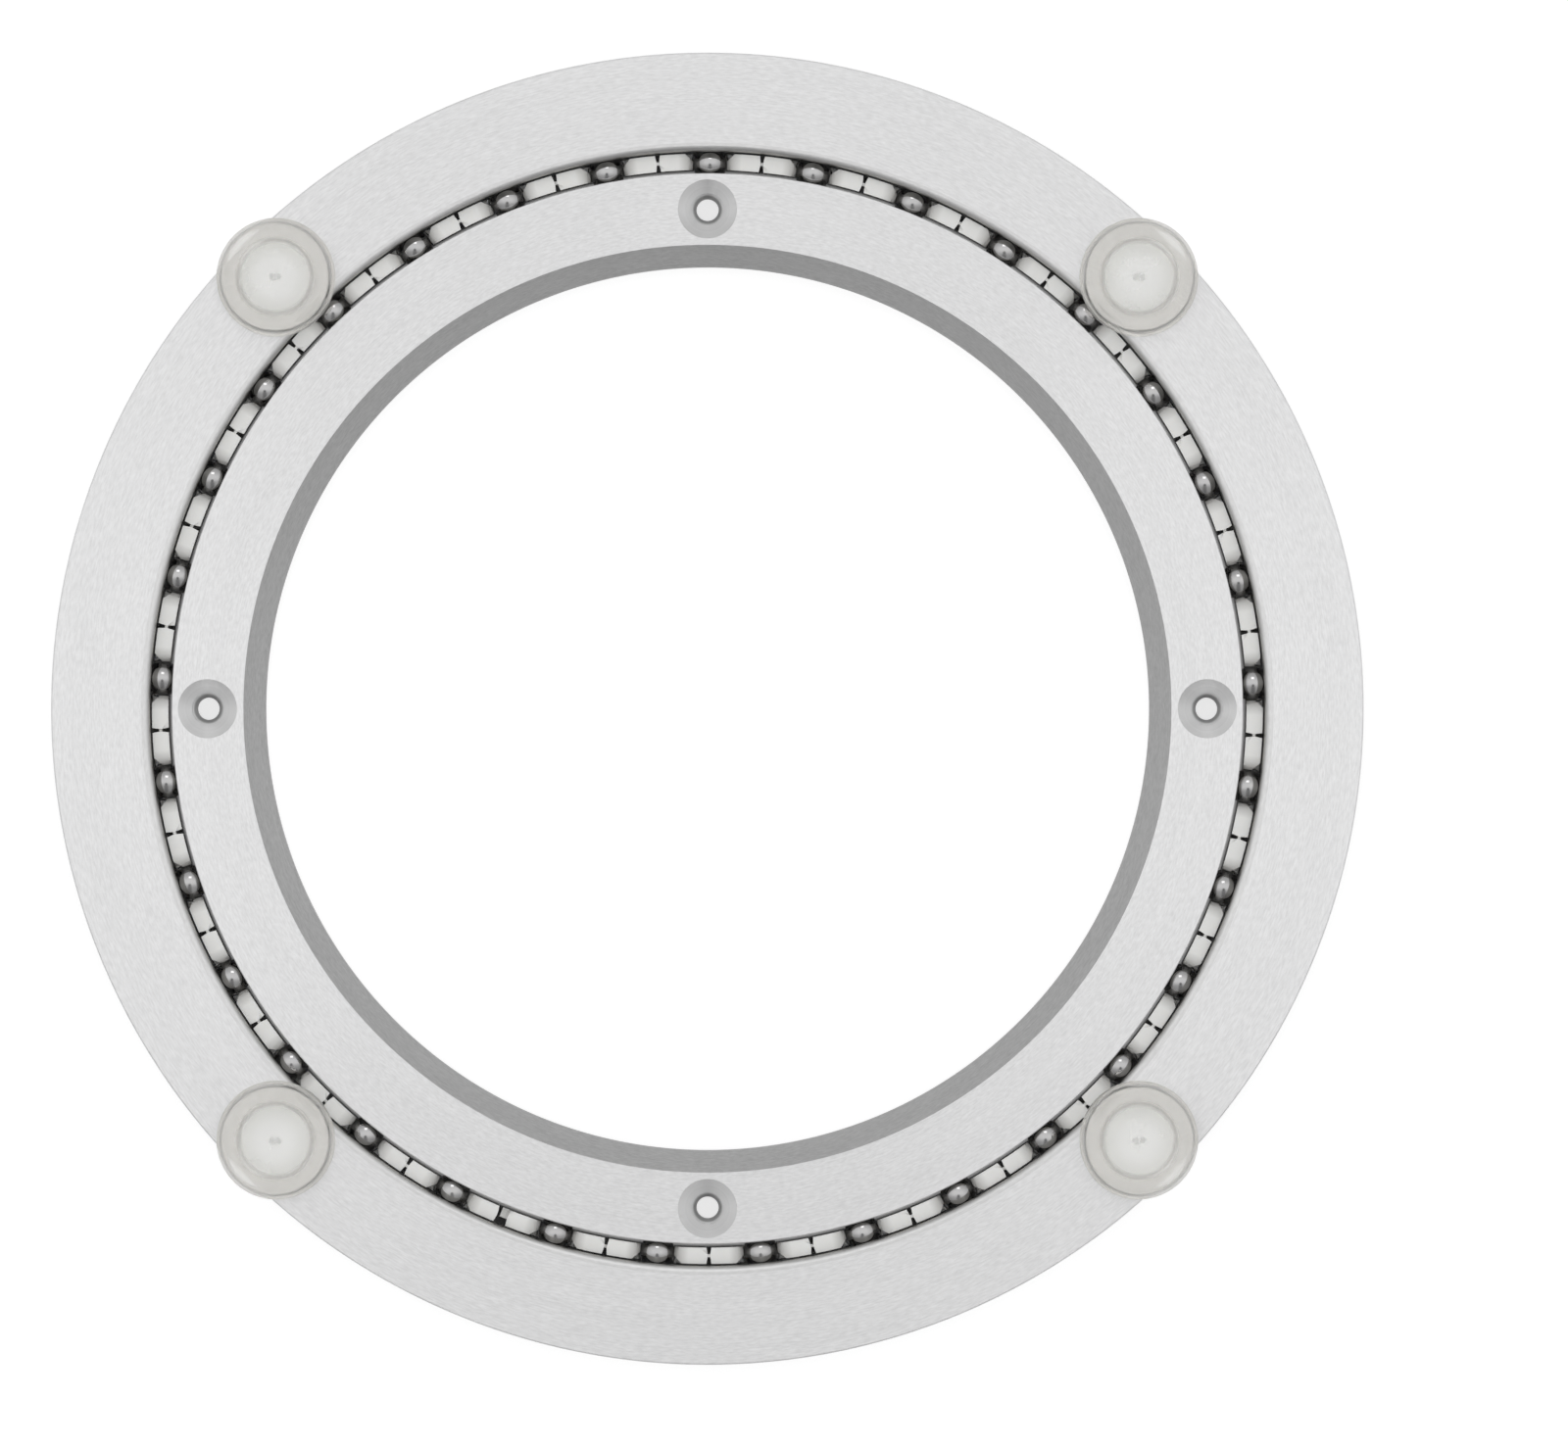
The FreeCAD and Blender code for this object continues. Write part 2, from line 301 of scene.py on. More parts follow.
def new_group(name, inputs, outputs):
    """An empty shader group with named float or vector inputs and outputs."""
    group = bpy.data.node_groups.new(name, "ShaderNodeTree")
    for socket_name, kind, value in inputs:
        socket = group.interface.new_socket(socket_name, in_out="INPUT", socket_type=kind)
        if value is not None:
            socket.default_value = value
    for socket_name, kind in outputs:
        group.interface.new_socket(socket_name, in_out="OUTPUT", socket_type=kind)
    entry = group.nodes.new("NodeGroupInput")
    leave = group.nodes.new("NodeGroupOutput")
    return group, group.nodes, group.links, entry, leave


def place_group(nodes, links, group, **values):
    node = nodes.new("ShaderNodeGroup")
    node.node_tree = group
    for name, value in values.items():
        socket = node.inputs[name.replace("_", " ")]
        if isinstance(value, (int, float)):
            socket.default_value = value
        else:
            links.new(value, socket)
    return node


# Shared effects

def make_turning_lines():
    """Fine marks that a lathe tool leaves round the Z axis, on flat faces and on walls alike."""
    group, nodes, links, entry, leave = new_group(
        "turning_lines",
        [("Position", "NodeSocketVector", None), ("Lines per mm", "NodeSocketFloat", 5.0)],
        [("Lines", "NodeSocketFloat"), ("Bands", "NodeSocketFloat"), ("Grain", "NodeSocketFloat")],
    )
    position = entry.outputs["Position"]
    split = nodes.new("ShaderNodeSeparateXYZ")
    links.new(position, split.inputs[0])
    flat = vector_node(nodes, links, "MULTIPLY", position, (1, 1, 0))
    radius = vector_node(nodes, links, "LENGTH", flat)
    around = nodes.new("ShaderNodeSeparateXYZ")
    links.new(vector_node(nodes, links, "NORMALIZE", flat), around.inputs[0])
    per_metre = math_node(nodes, links, "MULTIPLY", entry.outputs["Lines per mm"], 1 / MM)
    outward = math_node(nodes, links, "MULTIPLY", radius, per_metre)
    upward = math_node(nodes, links, "MULTIPLY", split.outputs["Z"], per_metre)

    def marks(per_line, per_turn):
        """Noise stretched round the axis: per_line across the lines, per_turn on the unit circle."""
        place = nodes.new("ShaderNodeCombineXYZ")
        links.new(math_node(nodes, links, "MULTIPLY", outward, per_line), place.inputs["X"])
        links.new(math_node(nodes, links, "MULTIPLY", around.outputs["X"], per_turn), place.inputs["Y"])
        links.new(math_node(nodes, links, "MULTIPLY", around.outputs["Y"], per_turn), place.inputs["Z"])
        value = noise(nodes, links, place.outputs[0], 1.0, 2.0, 0.5, "4D")
        links.new(math_node(nodes, links, "MULTIPLY", upward, per_line), value.node.inputs["W"])
        return value

    links.new(marks(1.0, 8.0), leave.inputs["Lines"])
    links.new(marks(0.09, 0.6), leave.inputs["Bands"])
    links.new(marks(0.8, 75.0), leave.inputs["Grain"])
    return group


def make_handling_haze():
    """The soft uneven haze that handling leaves on bare metal and plastic."""
    group, nodes, links, entry, leave = new_group(
        "handling_haze",
        [("Position", "NodeSocketVector", None), ("Patches per metre", "NodeSocketFloat", 60.0)],
        [("Haze", "NodeSocketFloat")],
    )
    position = entry.outputs["Position"]
    haze = noise(nodes, links, position, 1.0, 4.0, 0.55)
    links.new(entry.outputs["Patches per metre"], haze.node.inputs["Scale"])
    links.new(haze, leave.inputs["Haze"])
    return group


def make_slot_shade():
    """Where the two walls of the ball slot are coloured dark as painted shade, above the races."""
    group, nodes, links, entry, leave = new_group(
        "slot_shade_group",
        [("Position", "NodeSocketVector", None)],
        [("Painted shade", "NodeSocketFloat")],
    )
    split = nodes.new("ShaderNodeSeparateXYZ")
    links.new(entry.outputs["Position"], split.inputs[0])
    flat = vector_node(nodes, links, "MULTIPLY", entry.outputs["Position"], (1, 1, 0))
    radius = vector_node(nodes, links, "LENGTH", flat)
    from_middle = math_node(nodes, links, "SUBTRACT", radius, BALL_CIRCLE_RADIUS)
    reach = math_node(nodes, links, "ABSOLUTE", from_middle)
    across = remap(nodes, links, reach, RACE_RADIUS + 0.02 * MM, RACE_RADIUS + 0.06 * MM, 1.0, 0.0)
    outward = remap(nodes, links, from_middle, -0.1 * MM, 0.1 * MM, 0.0, 1.0)
    wall_top = remap(nodes, links, outward, 0.0, 1.0, SHADE_TOP_INNER, SHADE_TOP_OUTER)
    below = math_node(nodes, links, "SUBTRACT", wall_top, split.outputs["Z"])
    per_depth = remap(nodes, links, outward, 0.0, 1.0, 1 / (0.3 * MM), 1 / (0.85 * MM))
    down = math_node(nodes, links, "MULTIPLY", below, per_depth, clamp=True)
    up = remap(nodes, links, split.outputs["Z"], SHADE_BASE - 0.1 * MM, SHADE_BASE + 0.1 * MM, 0.0, 1.0)
    painted_slot_shade = math_node(nodes, links, "MULTIPLY", across, math_node(nodes, links, "MULTIPLY", down, up))
    links.new(painted_slot_shade, leave.inputs["Painted shade"])
    return group


# Materials

def make_turned_aluminium():
    material, nodes, links, shader = start_material("turned_aluminium")
    place = nodes.new("ShaderNodeTexCoord").outputs["Object"]
    lines = place_group(nodes, links, turning_lines, Position=place, Lines_per_mm=5.0)
    haze = place_group(nodes, links, handling_haze, Position=place, Patches_per_metre=45.0)
    radius = vector_node(nodes, links, "LENGTH", vector_node(nodes, links, "MULTIPLY", place, (1, 1, 0)))
    blend = 0.04 * MM
    in_bore = remap(nodes, links, radius, BEVEL_EDGE_RADIUS - blend, BEVEL_EDGE_RADIUS + blend, 1.0, 0.0)
    slot_shade_mask = place_group(nodes, links, slot_shade_group, Position=place).outputs["Painted shade"]
    from_hole = distance_from_hole(nodes, links, place)
    cone_edge = COUNTERSINK_RADIUS - 0.02 * MM
    in_cone = remap(nodes, links, from_hole, cone_edge, COUNTERSINK_RADIUS, 1.0, 0.0)
    # Painted shade: deep in each screw hole the ledge and the pilot are coloured dark grey.
    hole_shade = SHANK_HOLE_RADIUS - 0.35 * MM
    hole_painted_shade_mask = remap(nodes, links, from_hole, hole_shade, SHANK_HOLE_RADIUS, 1.0, 0.0)
    drill_rings = nodes.new("ShaderNodeCombineXYZ")
    links.new(math_node(nodes, links, "MULTIPLY", from_hole, 3.2 / MM), drill_rings.inputs["X"])
    drill_marks = noise(nodes, links, drill_rings.outputs[0], 1.0, 2.0, 0.5)

    tone = 0.0
    for marks, reach in (
        (lines.outputs["Grain"], 0.065),
        (lines.outputs["Lines"], 0.035),
        (lines.outputs["Bands"], 0.012),
        (haze.outputs["Haze"], 0.012),
    ):
        step = remap(nodes, links, marks, 0.3, 0.7, -reach, reach)
        tone = math_node(nodes, links, "ADD", tone, step)
    bright = nodes.new("ShaderNodeCombineColor")
    for channel, level in zip(bright.inputs, (0.872, 0.872, 0.875)):
        links.new(math_node(nodes, links, "ADD", tone, level), channel)
    # The bevel and the bore are coloured darker than the face: painted shade.
    bevel_painted_shade = nodes.new("ShaderNodeCombineColor")
    for channel in bevel_painted_shade.inputs:
        calmer = math_node(nodes, links, "MULTIPLY", tone, 0.8)
        links.new(math_node(nodes, links, "ADD", calmer, 0.52), channel)
    finish_and_painted_shade = mix_colour(nodes, links, in_bore, bright.outputs[0], bevel_painted_shade.outputs[0])
    # The countersink cones carry ring-shaped drill marks and are coloured lighter than the face; the lighter
    # colour is painted light.
    cone_drill_marks_and_painted_light = mix_colour(nodes, links, drill_marks, (0.84, 0.84, 0.84), (1.0, 1.0, 1.0))
    finish_and_painted_shade = mix_colour(nodes, links, in_cone, finish_and_painted_shade, cone_drill_marks_and_painted_light)
    finish_and_painted_shade = mix_colour(nodes, links, hole_painted_shade_mask, finish_and_painted_shade, (0.34, 0.34, 0.34))
    # Painted shade: the ball slot's walls are coloured dark grey where the slot is deep and narrow.
    finish_and_painted_shade = mix_colour(nodes, links, slot_shade_mask, finish_and_painted_shade, (0.42, 0.415, 0.395))
    links.new(finish_and_painted_shade, shader.inputs["Base Color"])

    shader.inputs["Metallic"].default_value = 1.0
    rough = remap(nodes, links, lines.outputs["Lines"], 0.3, 0.7, 0.36, 0.46)
    hazed = remap(nodes, links, haze.outputs["Haze"], 0.3, 0.7, -0.03, 0.03)
    rough = math_node(nodes, links, "ADD", rough, hazed)
    rough = math_node(nodes, links, "ADD", rough, math_node(nodes, links, "MULTIPLY", in_bore, 0.12))
    links.new(rough, shader.inputs["Roughness"])
    shader.inputs["Anisotropic"].default_value = 0.55
    shader.inputs["Anisotropic Rotation"].default_value = 0.25
    tangent = nodes.new("ShaderNodeTangent")
    tangent.direction_type = "RADIAL"
    tangent.axis = "Z"
    links.new(tangent.outputs[0], shader.inputs["Tangent"])
    links.new(bump(nodes, links, lines.outputs["Lines"], 0.12, 0.01 * MM), shader.inputs["Normal"])
    return material


def distance_from_hole(nodes, links, place):
    """The distance from the nearest screw hole's axis."""
    flat = vector_node(nodes, links, "MULTIPLY", place, (1, 1, 0))
    folded = vector_node(nodes, links, "ABSOLUTE", flat)
    on_x = vector_node(nodes, links, "DISTANCE", folded, (SCREW_CIRCLE_RADIUS, 0, 0))
    on_y = vector_node(nodes, links, "DISTANCE", folded, (0, SCREW_CIRCLE_RADIUS, 0))
    return math_node(nodes, links, "MINIMUM", on_x, on_y)


def make_ball_steel():
    material, nodes, links, shader = start_material("ball_steel")
    place = nodes.new("ShaderNodeTexCoord").outputs["Object"]
    haze = place_group(nodes, links, handling_haze, Position=place, Patches_per_metre=700.0)
    colour = mix_colour(nodes, links, haze.outputs["Haze"], (0.48, 0.48, 0.49), (0.58, 0.57, 0.56))
    links.new(colour, shader.inputs["Base Color"])
    shader.inputs["Metallic"].default_value = 1.0
    links.new(remap(nodes, links, haze.outputs["Haze"], 0.3, 0.7, 0.07, 0.15), shader.inputs["Roughness"])
    return material


def make_nylon(first_pocket, second_pocket):
    """White nylon, with painted shade greying the horns beside the balls. The pockets' angles are in radians.
    """
    material, nodes, links, shader = start_material("nylon")
    place = nodes.new("ShaderNodeTexCoord").outputs["Object"]
    haze = place_group(nodes, links, handling_haze, Position=place, Patches_per_metre=260.0)
    colour = mix_colour(nodes, links, haze.outputs["Haze"], (0.77, 0.77, 0.75), (0.83, 0.83, 0.815))

    split = nodes.new("ShaderNodeSeparateXYZ")
    links.new(place, split.inputs[0])
    angle = math_node(nodes, links, "ARCTAN2", split.outputs["Y"], split.outputs["X"])
    half_pitch = (second_pocket - first_pocket) / 2
    from_end = math_node(nodes, links, "SUBTRACT", angle, first_pocket - half_pitch)
    from_end = math_node(nodes, links, "FLOORED_MODULO", from_end, math.tau)
    from_pocket = math_node(nodes, links, "SUBTRACT", from_end, half_pitch)
    to_pocket = math_node(nodes, links, "PINGPONG", from_pocket, half_pitch)
    along = math_node(nodes, links, "MULTIPLY", to_pocket, BALL_CIRCLE_RADIUS)
    # Painted shade: the horn noses beside each ball are coloured grey.
    beside = remap(nodes, links, along, 2.9 * MM, 4.8 * MM, 1.0, 0.0)
    on_horn = remap(nodes, links, split.outputs["Z"], 5.5 * MM, 6.5 * MM, 0.0, 1.0)
    horn_painted_shade = math_node(nodes, links, "MULTIPLY", beside, on_horn)
    links.new(mix_colour(nodes, links, horn_painted_shade, colour, (0.42, 0.415, 0.4)), shader.inputs["Base Color"])

    links.new(remap(nodes, links, haze.outputs["Haze"], 0.3, 0.7, 0.42, 0.52), shader.inputs["Roughness"])
    shader.inputs["Subsurface Weight"].default_value = 0.25
    shader.inputs["Subsurface Radius"].default_value = (1.0, 0.95, 0.85)
    shader.inputs["Subsurface Scale"].default_value = 0.6 * MM
    fine = noise(nodes, links, place, 3500.0, 2.0, 0.5)
    links.new(bump(nodes, links, fine, 0.12, 0.02 * MM), shader.inputs["Normal"])
    return material


def make_clear_pvc(centre_distance):
    """Clear soft PVC, a little milky. centre_distance is each foot's X and Y from the spin axis."""
    material, nodes, links, shader = start_material("clear_pvc")
    place = nodes.new("ShaderNodeTexCoord").outputs["Object"]
    haze = place_group(nodes, links, handling_haze, Position=place, Patches_per_metre=420.0)
    colour = mix_colour(nodes, links, haze.outputs["Haze"], (0.99, 0.98, 0.95), (1.0, 0.99, 0.965))

    folded = vector_node(nodes, links, "ABSOLUTE", place)
    from_centre = vector_node(nodes, links, "SUBTRACT", folded, (centre_distance, centre_distance, 0))
    from_centre = vector_node(nodes, links, "MULTIPLY", from_centre, (1, 1, 0))
    reach = vector_node(nodes, links, "LENGTH", from_centre)
    # Over the flange the pad is coloured darker towards the flange's edge: painted shade.
    over_flange = remap(nodes, links, reach, 5.3 * MM, 5.7 * MM, 1.0, 0.0)
    flange_edge_shade_mask = remap(nodes, links, reach, 2.2 * MM, 5.2 * MM, 0.0, 1.0, smooth=True)
    flange_disc_shade = mix_colour(nodes, links, flange_edge_shade_mask, (1.0, 1.0, 0.99), (0.925, 0.925, 0.905))
    colour = mix_colour(nodes, links, over_flange, colour, flange_disc_shade)
    lobes = vector_node(nodes, links, "ABSOLUTE", from_centre)
    to_lobe = vector_node(nodes, links, "DISTANCE", lobes, (0.5 * MM, 0, 0))
    wobble = noise(nodes, links, place, 1500.0, 2.0, 0.5)
    uneven = remap(nodes, links, wobble, 0.3, 0.7, -0.15 * MM, 0.15 * MM)
    to_lobe = math_node(nodes, links, "ADD", to_lobe, uneven)
    gate = remap(nodes, links, to_lobe, 0.15 * MM, 0.65 * MM, 1.0, 0.0, smooth=True)
    colour = mix_colour(nodes, links, gate, colour, (0.9, 0.9, 0.89))
    links.new(colour, shader.inputs["Base Color"])

    rough = remap(nodes, links, haze.outputs["Haze"], 0.3, 0.7, 0.15, 0.19)
    rough = math_node(nodes, links, "ADD", rough, math_node(nodes, links, "MULTIPLY", gate, 0.3))
    from_step = math_node(nodes, links, "SUBTRACT", reach, DISH_STEP_RADIUS)
    from_step = math_node(nodes, links, "ABSOLUTE", from_step)
    on_step = remap(nodes, links, from_step, 0.15 * MM, 0.5 * MM, 0.45, 0.0)
    rough = math_node(nodes, links, "ADD", rough, on_step)
    links.new(rough, shader.inputs["Roughness"])
    shader.inputs["Transmission Weight"].default_value = 0.86
    shader.inputs["IOR"].default_value = 1.5
    shader.inputs["Subsurface Weight"].default_value = 0.2
    shader.inputs["Subsurface Radius"].default_value = (1.0, 1.0, 0.95)
    shader.inputs["Subsurface Scale"].default_value = 1.0 * MM
    waves = noise(nodes, links, place, 320.0, 1.0, 0.4)
    links.new(bump(nodes, links, waves, 0.06, 0.1 * MM), shader.inputs["Normal"])
    return material


def make_plated_steel():
    material, nodes, links, shader = start_material("plated_steel")
    place = nodes.new("ShaderNodeTexCoord").outputs["Object"]
    haze = place_group(nodes, links, handling_haze, Position=place, Patches_per_metre=140.0)
    colour = mix_colour(nodes, links, haze.outputs["Haze"], (0.96, 0.96, 0.955), (0.99, 0.99, 0.99))
    links.new(colour, shader.inputs["Base Color"])
    shader.inputs["Metallic"].default_value = 1.0
    links.new(remap(nodes, links, haze.outputs["Haze"], 0.3, 0.7, 0.26, 0.3), shader.inputs["Roughness"])
    return material


# Pieces

def make_foot_pad(number, material):
    """A clear pad with the flange's hollow in it, turned from the same profile as its solid."""
    node = "foot_pad_%d" % number
    low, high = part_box(node)
    centre = Vector(((low.x + high.x) / 2, (low.y + high.y) / 2, 0))
    stud_low, stud_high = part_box("foot_stud_%d" % number)
    flange = (stud_high.x - stud_low.x) / 2 + FLANGE_GAP
    seat = low.z + PAD_SEAT_GAP
    top = high.z
    lip = (high.x - low.x) / 2
    wall = lip - WALL_INSET
    wall_top = wall - WALL_TAPER
    lip_centre = (lip - LIP_ROUNDING, seat + LIP_ROUNDING)
    lip_top_centre = (lip - LIP_TOP_ROUNDING, low.z + LIP_HEIGHT)
    top_centre = (wall_top - PAD_TOP_ROUNDING, top - PAD_TOP_ROUNDING)
    dish_edge_centre = (flange + DISH_EDGE_WIDTH, top - DISH_EDGE_ROUNDING)
    dish_top = top - DISH_EDGE_DEPTH
    dish_floor = dish_top - DISH_FALL

    profile = [(STUD_NECK_RADIUS, seat), (lip - LIP_ROUNDING, seat)]
    profile += arc_points(lip_centre, LIP_ROUNDING, -60, 0, 4)
    profile += [(lip, low.z + LIP_HEIGHT - 0.05 * MM)]
    profile += arc_points(lip_top_centre, LIP_TOP_ROUNDING, 15, 75, 3)
    profile += [(wall, low.z + WALL_START_HEIGHT)]
    profile += arc_points(top_centre, PAD_TOP_ROUNDING, 4, 90, 8)
    profile += arc_points(dish_edge_centre, DISH_EDGE_ROUNDING, 90, 165, 4)
    profile += [(flange, dish_top)]
    for part in [i / 8 for i in range(1, 9)]:
        inward = flange * (1 - part) + GATE_RADIUS * part
        profile += [(inward, dish_top - DISH_FALL * math.sin(part * math.pi / 2))]
    profile += [(GATE_RADIUS - 0.05 * MM, dish_floor + 0.12 * MM), (0.0, dish_floor + 0.15 * MM)]
    bm = bmesh.new()
    turned_profile(bm, profile, PAD_SEGMENTS, centre)
    hollow = [
        (0.0, stud_high.z + FLANGE_GAP),
        (flange, stud_high.z + FLANGE_GAP),
        (flange, stud_high.z - FLANGE_HEIGHT - FLANGE_GAP),
        (STUD_NECK_RADIUS, stud_high.z - FLANGE_HEIGHT - FLANGE_GAP),
        (STUD_NECK_RADIUS, seat),
    ]
    turned_profile(bm, hollow, PAD_SEGMENTS, centre)
    pad = new_piece("clear_pad_%d" % number, bm, material)
    smooth_but_keep_corners(pad, 35)
    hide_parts(node)
    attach(pad, "outer_ring")


def make_threaded_stud(number, material):
    """A plated stud: a helical thread below, and the flange that the pad is moulded on above."""
    node = "foot_stud_%d" % number
    low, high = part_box(node)
    centre = Vector(((low.x + high.x) / 2, (low.y + high.y) / 2, 0))
    flange = (high.x - low.x) / 2
    flange_z = high.z - FLANGE_HEIGHT
    crest = STUD_CREST_RADIUS
    root = crest - THREAD_DEPTH
    flat = THREAD_PITCH / 8
    first = low.z - 2 * THREAD_PITCH
    turns = int((flange_z - first) / THREAD_PITCH) + 2

    bm = bmesh.new()
    tooth = [(root, 0.0), (root, 2 * flat), (crest, 4.5 * flat), (crest, 5.5 * flat), (root, 8 * flat)]
    verts = [bm.verts.new(centre + Vector((radius, 0, first + height))) for radius, height in tooth]
    edges = [bm.edges.new(pair) for pair in zip(verts, verts[1:])]
    bmesh.ops.spin(
        bm,
        geom=verts + edges,
        cent=centre,
        axis=UP,
        dvec=UP * (THREAD_PITCH / THREAD_STEPS_PER_TURN),
        angle=math.tau * turns,
        steps=THREAD_STEPS_PER_TURN * turns,
    )
    bmesh.ops.remove_doubles(bm, verts=bm.verts, dist=0.001 * MM)
    for level, facing in ((low.z, -UP), (flange_z - 0.3 * MM, UP)):
        bmesh.ops.bisect_plane(
            bm,
            geom=bm.verts[:] + bm.edges[:] + bm.faces[:],
            dist=0.0001 * MM,
            plane_co=Vector((0, 0, level)),
            plane_no=facing,
            clear_outer=True,
        )
    open_edges = [edge for edge in bm.edges if edge.is_boundary]
    bmesh.ops.holes_fill(bm, edges=open_edges)
    bmesh.ops.recalc_face_normals(bm, faces=bm.faces)

    head = [(0.0, flange_z - 0.35 * MM), (root, flange_z - 0.35 * MM), (root, flange_z)]
    head += arc_points((flange - 0.2 * MM, flange_z + 0.2 * MM), 0.2 * MM, -90, 0, 4)
    head += arc_points((flange - 0.1 * MM, high.z - 0.1 * MM), 0.1 * MM, 0, 90, 4)
    head += [(0.0, high.z)]
    turned_profile(bm, head, 96, centre)
    stud = new_piece("threaded_stud_%d" % number, bm, material)
    smooth_but_keep_corners(stud, 35)
    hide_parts(node)
    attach(stud, "outer_ring")


def make_smooth_copy(node, name, material):
    piece = merged_copy_of_node(node, name, material)
    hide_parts(node)
    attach(piece, frame["nodes"][node]["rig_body"])


def make_ball(node, name, material):
    low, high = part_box(node)
    bm = bmesh.new()
    bmesh.ops.create_uvsphere(bm, u_segments=48, v_segments=32, radius=(high.z - low.z) / 2)
    bmesh.ops.translate(bm, verts=bm.verts, vec=(low + high) / 2)
    ball = new_piece(name, bm, material)
    for polygon in ball.data.polygons:
        polygon.use_smooth = True
    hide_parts(node)
    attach(ball, frame["nodes"][node]["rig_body"])


def on_circle(radius, count, first_angle):
    angles = [math.radians(first_angle) + math.tau * i / count for i in range(count)]
    return [Vector((radius * math.cos(a), radius * math.sin(a), 0)) for a in angles]


def make_outer_ring(material):
    """The ring that holds the feet, with its race, its rounded slot edge and the feet's holes."""
    low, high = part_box("outer_ring")
    rim = high.x
    wall = OUTER_WALL_RADIUS
    half = math.degrees(math.acos((wall - BALL_CIRCLE_RADIUS) / RACE_RADIUS))
    profile = arc_points((BALL_CIRCLE_RADIUS, BALL_PLANE_Z), RACE_RADIUS, half, -half, 16)
    profile += [
        (wall, low.z + EDGE_BREAK),
        (wall + EDGE_BREAK, low.z),
        (rim - EDGE_BREAK, low.z),
        (rim, low.z + EDGE_BREAK),
        (rim, high.z - EDGE_BREAK),
        (rim - EDGE_BREAK, high.z),
    ]
    profile += arc_points((wall + SLOT_EDGE_RADIUS, high.z - SLOT_EDGE_RADIUS), SLOT_EDGE_RADIUS, 90, 180, 12)
    profile += profile[:1]
    bm = bmesh.new()
    turned_profile(bm, profile, RING_SEGMENTS, Vector())
    ring = new_piece("turned_outer_ring", bm, material)
    hole = [
        (0.0, high.z - STUD_HOLE_DEPTH),
        (STUD_HOLE_RADIUS, high.z - STUD_HOLE_DEPTH),
        (STUD_HOLE_RADIUS, high.z - STUD_HOLE_CHAMFER),
        (STUD_HOLE_RADIUS + STUD_HOLE_CHAMFER, high.z),
        (STUD_HOLE_RADIUS + STUD_HOLE_CHAMFER, high.z + EDGE_BREAK),
        (0.0, high.z + EDGE_BREAK),
    ]
    foot = sum(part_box("foot_pad_1"), Vector()).xy / 2
    cut_holes(ring, hole, on_circle(foot.length, FOOT_COUNT, 45), 64)
    dress_ring(ring, "outer_ring")


def make_inner_ring(material):
    """The ring that is screwed to the tray, with its race, its wide bevel and its countersunk holes."""
    low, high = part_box("inner_ring")
    wall = INNER_WALL_RADIUS
    half = math.degrees(math.acos((BALL_CIRCLE_RADIUS - wall) / RACE_RADIUS))
    profile = arc_points((BALL_CIRCLE_RADIUS, BALL_PLANE_Z), RACE_RADIUS, 180 + half, 180 - half, 16)
    profile += [
        *arc_points((wall - EDGE_BREAK, high.z - EDGE_BREAK), EDGE_BREAK, 0, 90, 5),
        (BEVEL_EDGE_RADIUS, high.z),
        (BORE_RADIUS, high.z - BEVEL_DEPTH),
        (BORE_RADIUS, low.z + EDGE_BREAK),
        (BORE_RADIUS + EDGE_BREAK, low.z),
        (wall - EDGE_BREAK, low.z),
        (wall, low.z + EDGE_BREAK),
    ]
    profile += profile[:1]
    bm = bmesh.new()
    turned_profile(bm, profile, RING_SEGMENTS, Vector())
    ring = new_piece("turned_inner_ring", bm, material)
    hole = [
        (0.0, low.z - EDGE_BREAK),
        (PILOT_HOLE_RADIUS, low.z - EDGE_BREAK),
        (PILOT_HOLE_RADIUS, PILOT_HOLE_LENGTH),
        (SHANK_HOLE_RADIUS, PILOT_HOLE_LENGTH + DRILL_TIP_HEIGHT),
        (SHANK_HOLE_RADIUS, high.z - (COUNTERSINK_RADIUS - SHANK_HOLE_RADIUS)),
        (COUNTERSINK_RADIUS + EDGE_BREAK, high.z + EDGE_BREAK),
        (0.0, high.z + EDGE_BREAK),
    ]
    cut_holes(ring, hole, on_circle(SCREW_CIRCLE_RADIUS, 4, 0), 96)
    dress_ring(ring, "inner_ring")


def dress_ring(ring, node):
    smooth_but_keep_corners(ring, 25)
    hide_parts(node)
    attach(ring, frame["nodes"][node]["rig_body"])


# Stage

